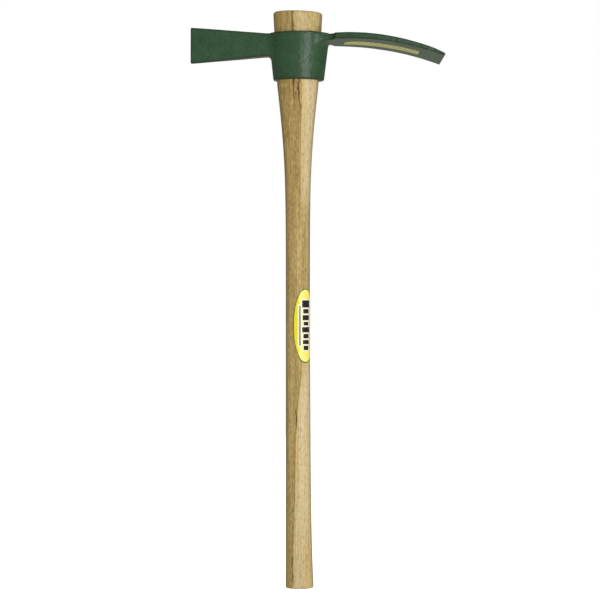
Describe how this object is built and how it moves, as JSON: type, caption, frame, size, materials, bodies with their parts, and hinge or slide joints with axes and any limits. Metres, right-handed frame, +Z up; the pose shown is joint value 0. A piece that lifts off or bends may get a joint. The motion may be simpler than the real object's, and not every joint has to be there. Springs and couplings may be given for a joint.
{
  "type": "cutter mattock",
  "caption": "Cutter mattock: a forged head with a vertical cutter and a curved grubbing adze on a slip-fit oval hardwood handle.",
  "frame": {"origin": "the handle's centre line where it meets the butt end face", "axes": "+Z up the handle towards the head, -X towards the cutter, +X towards the adze, -Y is the front"},
  "size_m": [0.3944, 0.103, 0.8999],
  "materials": {
    "hardwood": "sanded, thin clear coat",
    "green_paint": "semi-gloss dipped paint over forged steel",
    "oval_sticker": "gloss printed vinyl",
    "strip_sticker": "gloss printed vinyl"
  },
  "bodies": {
    "handle": {"handle": "hardwood", "handle_label": "oval_sticker"},
    "head": {"head": "green_paint", "blade_label": "strip_sticker"}
  },
  "joints": [
    {"name": "head_slide", "type": "slide", "parent": "handle", "child": "head", "axis": [0, 0, -1], "range_m": [0, 0.79]}
  ]
}
